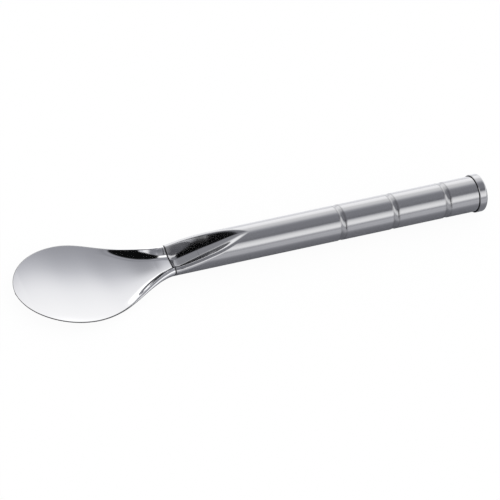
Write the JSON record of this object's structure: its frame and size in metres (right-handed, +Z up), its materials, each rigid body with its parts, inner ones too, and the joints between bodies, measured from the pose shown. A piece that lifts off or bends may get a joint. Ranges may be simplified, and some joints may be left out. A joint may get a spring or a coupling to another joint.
{
  "type": "ice cream spatula",
  "caption": "Long steel spatula for scooping and spreading ice cream: dished teardrop blade, tube handle with a pressed thumb recess and rolled grooves, turned end cap.",
  "frame": {"origin": "on the table that the spatula lies on, half way along its whole length and under the handle's axis", "axes": "+X along the handle from the blade's tip to the end cap, +Z up, away from the table, with the hollow of the blade facing up"},
  "size_m": [0.2606, 0.0482, 0.0193],
  "materials": {
    "polished_steel": "mirror polished stainless steel",
    "satin_tube": "satin brushed stainless steel",
    "satin_cap": "satin turned stainless steel"
  },
  "bodies": {
    "root": {"blade": "polished_steel", "handle": "satin_tube", "end_cap": "satin_cap"}
  },
  "joints": []
}
